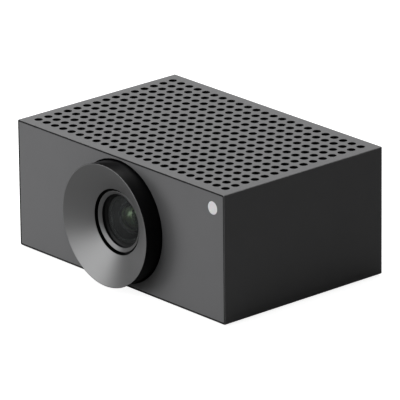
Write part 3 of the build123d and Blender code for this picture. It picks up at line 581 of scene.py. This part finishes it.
# Depths and radii of the lens in mm, from the grey front ring to the last glass
lens = {
    "ringOuter": 10.3,
    "ringInner": 9.0,
    "ringFront": -0.7,
    "ringFaceDepth": 0.9,
    "ringSeat": 0.6,
    "ringBevel": 1.2,
    "ringNeck": 9.6,
    "ringLip": 8.2,
    "glassStart": 1.8,
    "glassEnd": 4.3,
    "glassRadius": 8.9,
    "secondStart": 6.4,
    "webStart": 9.4,
    "webRadius": 5.0,
    "irisStart": 10.8,
    "boreRadius": 6.5,
    "barrelEnd": 20.2,
    "fit": 0.06,
}


def buildFrontRing():
    outline = [
        (lens["ringFront"], lens["ringOuter"], 0.12),
        (lens["ringSeat"], lens["ringOuter"], 0),
        (lens["ringSeat"], lens["ringNeck"], 0),
        (lens["glassStart"], lens["ringNeck"], 0),
        (lens["glassStart"], lens["ringLip"], 0.05),
        (lens["ringBevel"], lens["ringInner"], 0.1),
        (lens["ringFront"] + lens["ringFaceDepth"], lens["ringInner"], 0.12),
    ]
    mesh = latheMesh("frontRing", outline, 200)
    piece = place(linkObject("frontRing", mesh), [ringMetal, lensBlack], ["front_ring"])
    for polygon in mesh.polygons:
        across = math.hypot(polygon.center.x, polygon.center.z - axisZ)
        facesFront = polygon.normal.y < -0.5 and across > lens["ringInner"] * mm
        polygon.material_index = 0 if facesFront else 1
    return piece


def buildBarrel():
    bore = lens["boreRadius"] + lens["fit"]
    front = lens["glassRadius"] + lens["fit"]
    neck = lens["ringNeck"] + lens["fit"]
    outline = [
        (lens["ringSeat"], lens["ringOuter"], 0),
        (lens["barrelEnd"], lens["ringOuter"], 0.2),
        (lens["barrelEnd"], bore, 0.2),
        (lens["irisStart"], bore, 0),
        (lens["irisStart"], lens["webRadius"], 0.08),
        (lens["webStart"], lens["webRadius"], 0.08),
        (lens["webStart"], bore, 0),
        (lens["secondStart"], bore, 0.1),
        (lens["secondStart"], front, 0),
        (lens["glassStart"], front, 0),
        (lens["glassStart"], neck, 0),
        (lens["ringSeat"], neck, 0),
    ]
    mesh = latheMesh("lensBarrel", outline, 160)
    return place(linkObject("lensBarrel", mesh), [lensBlack], ["lens_barrel"])


# Each element's place and radius, its two faces' curves, where one under 0 is hollow, and its flat rims
glass = {
    "front": {"from": lens["glassStart"], "to": lens["glassEnd"], "radius": lens["glassRadius"],
              "curves": (22.0, -8.0), "rims": (0.8, 2.7)},
    "second": {"from": lens["secondStart"], "to": lens["webStart"], "radius": lens["boreRadius"],
               "curves": (8.5, -15.0), "rims": (0.7, 0.7)},
    "third": {"from": 12.6, "to": 15.0, "radius": lens["boreRadius"],
              "curves": (22.4, 22.4), "rims": (0.7, 0.7)},
    "rear": {"from": 16.4, "to": 18.4, "radius": lens["boreRadius"],
             "curves": (-22.0, 27.5), "rims": (0.7, 0.7)},
}


def glassOutline(sizes, steps=20):
    def face(edge, curve, reach, outward):
        way = outward if curve > 0 else -outward
        size = abs(curve)
        full = size - math.sqrt(size**2 - reach**2)
        found = []
        for k in range(steps + 1):
            r = reach * k / steps
            found.append((edge + way * (full - (size - math.sqrt(size**2 - r**2))), r, 0))
        return found

    start, end, radius = sizes["from"], sizes["to"], sizes["radius"]
    front = face(start, sizes["curves"][0], radius - sizes["rims"][0], -1)
    rear = face(end, sizes["curves"][1], radius - sizes["rims"][1], 1)
    return front + [(start, radius, 0), (end, radius, 0)] + rear[::-1]


def buildGlass():
    for name, sizes in glass.items():
        material = frontGlass if name == "front" else greenGlass
        mesh = latheMesh(name + "Lens", glassOutline(sizes), 128, 30)
        place(linkObject(name + "Lens", mesh), [material], [name + "_lens_element"])


buildFrontRing()
buildBarrel()
buildGlass()
print("lens made")


# Gives the second material to the faces whose middle passes a test
def paintWhere(piece, test):
    for polygon in piece.data.polygons:
        if test(polygon.center):
            polygon.material_index = 1


box = {
    "sleeveEdge": 0.05,
    "plateEdge": 0.08,
    "skin": 0.25,
    "recessGap": 0.3,
    "recessStart": 0.05,
    "recessEnd": 1.3,
}


# Faces deeper than the skin inside the sleeve, the vent hole walls among them, get the near-black painted
# shade
def inSleeveShade(point):
    skin = box["skin"] * mm
    return all(low + skin < value < high - skin for value, low, high in zip(point, sleeveLow, sleeveHigh))


# The faces of the recess round the hood's seat get the near-black painted shade
def inHoodRecessShade(point):
    across = math.hypot(point.x, point.z - axisZ)
    depth = point.y - faceY
    inside = box["recessStart"] * mm < depth < box["recessEnd"] * mm
    return inside and across < hoodRadius + box["recessGap"] * mm


sleeve = softenedCopy("sleeve", box["sleeveEdge"] * mm)
place(sleeve, [boxMetal, paintedShadeBlack], ["sleeve"])
# Paints shade on the sleeve's inner faces and vent hole walls
paintWhere(sleeve, inSleeveShade)
frontPlate = softenedCopy("front_plate", box["plateEdge"] * mm)
place(frontPlate, [plateMetal, paintedShadeBlack], ["front_plate"])
# Paints shade into the recess round the hood
paintWhere(frontPlate, inHoodRecessShade)
rearPlate = softenedCopy("rear_plate", box["plateEdge"] * mm)
place(rearPlate, [plateMetal], ["rear_plate"])

finishes = {
    "front_seal": rubberBlack,
    "rubber_feet": rubberBlack,
    "status_light_lens": diffuser,
    "front_spacer": lensBlack,
    "middle_spacer": lensBlack,
    "rear_spacer": lensBlack,
    "rear_ring": lensBlack,
    "iris_plate": lensBlack,
    "lens_housing": lensBlack,
    "infrared_filter": filterGlass,
    "image_sensor": chipBlack,
    "sensor_glass": filterGlass,
    "lens_screws": blackSteel,
    "rear_screws": blackSteel,
    "chassis_screws": zincSteel,
    "heat_sink_screws": zincSteel,
    "sensor_screws": zincSteel,
    "light_board_screw": zincSteel,
    "standoffs": brass,
    "tripod_insert": brass,
    "chassis": zincSteel,
    "heat_sink": sinkMetal,
    "main_board": boardGreen,
    "sensor_board": boardGreen,
    "light_board": boardGreen,
    "processor": chipBlack,
    "memory_chips": chipBlack,
    "network_chip": chipBlack,
    "reset_switch": chipBlack,
    "power_inductors": chipBlack,
    "capacitors": zincSteel,
    "thermal_pad": padBlue,
    "status_led": plasticCream,
    "sensor_socket": plasticCream,
    "board_socket": plasticCream,
    "light_socket": plasticCream,
    "light_board_socket": plasticCream,
    "sensor_ribbon": filmOrange,
    "light_ribbon": filmOrange,
    "ethernet_shell": nickel,
    "usb_shell": nickel,
    "ethernet_insert": plasticBlack,
    "usb_tongue": plasticBlack,
    "ethernet_contacts": gold,
    "reset_button": plasticBlack,
    "switch_stem": plasticBlack,
}
for nodeName, material in finishes.items():
    node = cadNodes[nodeName]
    node.data.materials.clear()
    node.data.materials.append(material)

# Node, edge width in mm and material slot
softEdges = (
    ("rubber_feet", 0.2, "foot_rubber"),
    ("status_light_lens", 0.1, "light_diffuser"),
    ("rear_screws", 0.1, "screw_black"),
    ("lens_screws", 0.1, "screw_black"),
    ("chassis_screws", 0.1, "screw_zinc"),
    ("heat_sink_screws", 0.1, "screw_zinc"),
    ("sensor_screws", 0.08, "screw_zinc"),
    ("light_board_screw", 0.08, "screw_zinc"),
    ("standoffs", 0.12, "brass"),
    ("chassis", 0.12, "sheet_steel"),
    ("heat_sink", 0.12, "sink_aluminium"),
    ("lens_housing", 0.15, "lens_metal_black"),
    ("processor", 0.1, "chip_black"),
    ("memory_chips", 0.1, "chip_black"),
    ("network_chip", 0.08, "chip_black"),
    ("power_inductors", 0.3, "chip_black"),
    ("capacitors", 0.12, "capacitor_metal"),
    ("status_led", 0.1, "led_white"),
    ("sensor_socket", 0.1, "socket_white"),
    ("board_socket", 0.1, "socket_white"),
    ("light_socket", 0.1, "socket_white"),
    ("light_board_socket", 0.1, "socket_white"),
    ("ethernet_shell", 0.06, "shell_nickel"),
    ("ethernet_insert", 0.12, "socket_black"),
    ("usb_shell", 0.06, "shell_nickel"),
    ("usb_tongue", 0.08, "socket_black"),
    ("reset_switch", 0.15, "chip_black"),
    ("reset_button", 0.12, "button_black"),
)
for nodeName, width, slotName in softEdges:
    body = "button" if nodeName == "reset_button" else "camera"
    place(softenedCopy(nodeName, width * mm), finishes[nodeName], [nodeName], body)
print("box pieces finished")


# A bar with a rectangular section between two points that share an x
def addBar(bm, start, end, width, thickness):
    along = (end - start).normalized()
    side = Vector((width / 2, 0, 0))
    up = along.cross(Vector((1, 0, 0))) * (thickness / 2)
    rings = []
    for point in (start, end):
        signs = ((-1, -1), (1, -1), (1, 1), (-1, 1))
        rings.append([bm.verts.new(point + side * sx + up * su) for sx, su in signs])
    first, last = rings
    bm.faces.new(first)
    bm.faces.new(last[::-1])
    for k in range(4):
        after = (k + 1) % 4
        bm.faces.new((first[k], last[k], last[after], first[after]))


rear = {
    "springWidth": 0.42,
    "springThickness": 0.3,
    "springDrop": 1.9,
    "springTip": 1.2,
    "tipDrop": 0.2,
    "noseDrop": 0.6,
    "rootInset": 0.3,
    "springCount": 8,
    "padWidth": 0.28,
    "padThickness": 0.06,
    "padLength": 3.2,
    "padPitch": 0.5,
    "padHeight": 0.35,
    "padInset": 0.5,
    "padCount": 12,
}


# The network socket's springs slope down towards its back
def buildSprings():
    low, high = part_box("ethernet_contacts")
    bm = bmesh.new()
    pitch = (high.x - low.x - rear["springWidth"] * mm) / (rear["springCount"] - 1)
    for k in range(rear["springCount"]):
        x = low.x + rear["springWidth"] * mm / 2 + pitch * k
        tip = Vector((x, high.y - rear["springTip"] * mm, high.z - rear["tipDrop"] * mm))
        root = Vector((x, low.y + rear["rootInset"] * mm, high.z - rear["springDrop"] * mm))
        nose = Vector((x, high.y, high.z - rear["noseDrop"] * mm))
        addBar(bm, root, tip, rear["springWidth"] * mm, rear["springThickness"] * mm)
        addBar(bm, tip, nose, rear["springWidth"] * mm, rear["springThickness"] * mm)
    mesh = finishMesh(bm, "socketSprings")
    return place(linkObject("socketSprings", mesh), gold, ["ethernet_contacts"])


# Gold pads on both faces of the small socket's tongue
def buildPads():
    low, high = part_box("usb_tongue")
    middle = (low + high) / 2
    bm = bmesh.new()
    for k in range(rear["padCount"]):
        x = middle.x + (k - (rear["padCount"] - 1) / 2) * rear["padPitch"] * mm
        for side in (-1, 1):
            z = middle.z + side * rear["padHeight"] * mm
            end = high.y - rear["padInset"] * mm
            start = Vector((x, end - rear["padLength"] * mm, z))
            addBar(bm, start, Vector((x, end, z)), rear["padWidth"] * mm, rear["padThickness"] * mm)
    mesh = finishMesh(bm, "socketPads")
    return place(linkObject("socketPads", mesh), gold)


thread = {
    "crestRadius": 2.6,
    "rootRadius": 3.1,
    "pitch": 1.27,
    "stepsPerTurn": 10,
    "segments": 60,
    "end": 8.0,
    "rootWidth": 1.3,
    "flankSlope": 3.4,
    "slack": 0.03,
}


# The brass insert's plain bore gives way to a wall that follows a helix
def buildThread():
    low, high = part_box("tripod_insert")
    middle = (low + high) / 2
    mesh = cadNodes["tripod_insert"].data.copy()
    bm = bmesh.new()
    bm.from_mesh(mesh)
    bore = thread["crestRadius"] * mm
    top = thread["end"] * mm
    slack = thread["slack"] * mm
    inner = []
    for face in bm.faces:
        spot = face.calc_center_median()
        across = math.hypot(spot.x - middle.x, spot.y - middle.y)
        if across < bore + slack and low.z + slack < spot.z < top + slack:
            inner.append(face)
    bmesh.ops.delete(bm, geom=inner, context="FACES")
    depth = (top - low.z) / mm
    steps = int(depth / thread["pitch"] * thread["stepsPerTurn"])
    rings = []
    for level in range(steps + 1):
        z = low.z + (top - low.z) * level / steps
        ring = []
        for k in range(thread["segments"]):
            angle = 2 * math.pi * k / thread["segments"]
            phase = ((z - low.z) / mm / thread["pitch"] + k / thread["segments"]) % 1
            cut = min(1, max(0, thread["rootWidth"] - abs(phase - 0.5) * thread["flankSlope"]))
            fade = min(1, level / thread["stepsPerTurn"] * 2)  # full depth after half a turn
            r = (thread["crestRadius"] + (thread["rootRadius"] - thread["crestRadius"]) * cut * fade) * mm
            ring.append(bm.verts.new((middle.x + r * math.cos(angle), middle.y + r * math.sin(angle), z)))
        rings.append(ring)
    for first, second in zip(rings, rings[1:]):
        for k in range(thread["segments"]):
            after = (k + 1) % thread["segments"]
            bm.faces.new((first[k], second[k], second[after], first[after]))
    bm.faces.new(rings[-1])
    for name in ("custom_normal", "sharp_face", "sharp_edge"):
        if name in mesh.attributes:
            mesh.attributes.remove(mesh.attributes[name])
    bm.to_mesh(mesh)
    bm.free()
    for polygon in mesh.polygons:
        polygon.use_smooth = True
    mesh.set_sharp_from_angle(angle=math.radians(35))
    return place(linkObject("tripodThread", mesh), brass, ["tripod_insert"])


buildSprings()
buildPads()
buildThread()
print("rear and underside details made")


studio = {
    "floorSize": 8.0,
    "floorDrop": 0.02 * mm,
    "floorGlow": 0.9,
    "floorTone": 0.6,
    "floorBounce": 0.25,
    "floorGloss": 0.16,
    "world": 0.03,
}
lamps = {
    "leftKey": {
        "toward": (-0.76, -0.65, 0.05),
        "distance": 0.8,
        "size": 0.34,
        "power": 4.2,
        "mirrored": False,
    },
    "topBox": {
        "toward": (-0.25, 0.1, 1.0),
        "distance": 0.9,
        "size": 0.7,
        "power": 7.8,
        "mirrored": True,
    },
    "frontBox": {
        "toward": (-0.3, -0.85, 0.42),
        "distance": 1.2,
        "size": 1.25,
        "power": 6.2,
        "mirrored": True,
    },
}


# White to the eye from above and clear from below; only its darker tones light what stands on it
def buildFloor():
    bm = bmesh.new()
    bmesh.ops.create_grid(bm, x_segments=1, y_segments=1, size=studio["floorSize"])
    mesh = bpy.data.meshes.new("floor")
    bm.to_mesh(mesh)
    bm.free()
    floor = linkObject("floor", mesh)
    floor.location.z = -studio["floorDrop"]
    material, tree, shader = startMaterial("paleFloor")
    output = tree.nodes["Material Output"]
    shader.inputs["Base Color"].default_value = (*[studio["floorTone"]] * 3, 1)
    shader.inputs["Roughness"].default_value = 1.0
    shader.inputs["Specular IOR Level"].default_value = 0.0
    shader.inputs["Emission Color"].default_value = (1, 1, 1, 1)
    shader.inputs["Emission Strength"].default_value = studio["floorGlow"]
    bounce = tree.nodes.new("ShaderNodeBsdfDiffuse")
    path = tree.nodes.new("ShaderNodeLightPath")
    tones = [studio["floorBounce"]] * 3, [studio["floorGloss"]] * 3
    tree.links.new(mixColours(tree, path.outputs["Is Glossy Ray"], *tones), bounce.inputs["Color"])
    mix = tree.nodes.new("ShaderNodeMixShader")
    tree.links.new(path.outputs["Is Camera Ray"], mix.inputs["Fac"])
    tree.links.new(bounce.outputs["BSDF"], mix.inputs[1])
    tree.links.new(shader.outputs["BSDF"], mix.inputs[2])
    clear = tree.nodes.new("ShaderNodeBsdfTransparent")
    side = tree.nodes.new("ShaderNodeNewGeometry")
    whole = tree.nodes.new("ShaderNodeMixShader")
    tree.links.new(side.outputs["Backfacing"], whole.inputs["Fac"])
    tree.links.new(mix.outputs["Shader"], whole.inputs[1])
    tree.links.new(clear.outputs["BSDF"], whole.inputs[2])
    tree.links.new(whole.outputs["Shader"], output.inputs["Surface"])
    mesh.materials.append(material)


def buildLamps():
    lookAt = Vector((0, 0, axisZ))
    for name, lamp in lamps.items():
        data = bpy.data.lights.new(name, "AREA")
        data.shape = "SQUARE"
        data.size = lamp["size"]
        data.energy = lamp["power"]
        light = bpy.data.objects.new(name, data)
        light.visible_glossy = lamp["mirrored"]
        bpy.context.scene.collection.objects.link(light)
        light.location = lookAt + Vector(lamp["toward"]).normalized() * lamp["distance"]
        light.rotation_euler = (lookAt - light.location).to_track_quat("-Z", "Y").to_euler()


def buildWorld():
    world = bpy.data.worlds.new("studioAir")
    bpy.context.scene.world = world
    world.use_nodes = True
    background = world.node_tree.nodes["Background"]
    background.inputs["Color"].default_value = (1, 1, 1, 1)
    background.inputs["Strength"].default_value = studio["world"]


camera = {
    "azimuth": 48.68,
    "elevation": 19.80,
    "roll": -0.60,
    "distance": 1.7636,
    "lens": 487.35,
    "target": (0.01003, faceY + 0.02589, 0.02592),
}


def buildCamera():
    azimuth = math.radians(camera["azimuth"])
    elevation = math.radians(camera["elevation"])
    away = Vector((
        math.sin(azimuth) * math.cos(elevation),
        -math.cos(azimuth) * math.cos(elevation),
        math.sin(elevation),
    ))
    data = bpy.data.cameras.new("studioCamera")
    data.lens = camera["lens"]
    data.sensor_width = 36
    data.clip_end = 50
    eye = bpy.data.objects.new("studioCamera", data)
    bpy.context.scene.collection.objects.link(eye)
    target = Vector(camera["target"])
    roll = Matrix.Rotation(math.radians(camera["roll"]), 3, "Z")
    turn = (-away).to_track_quat("-Z", "Y").to_matrix() @ roll
    eye.matrix_world = Matrix.Translation(target + away * camera["distance"]) @ turn.to_4x4()
    bpy.context.scene.camera = eye


buildFloor()
buildLamps()
buildWorld()
buildCamera()
bpy.context.scene.view_settings.view_transform = "Standard"
print("studio made")
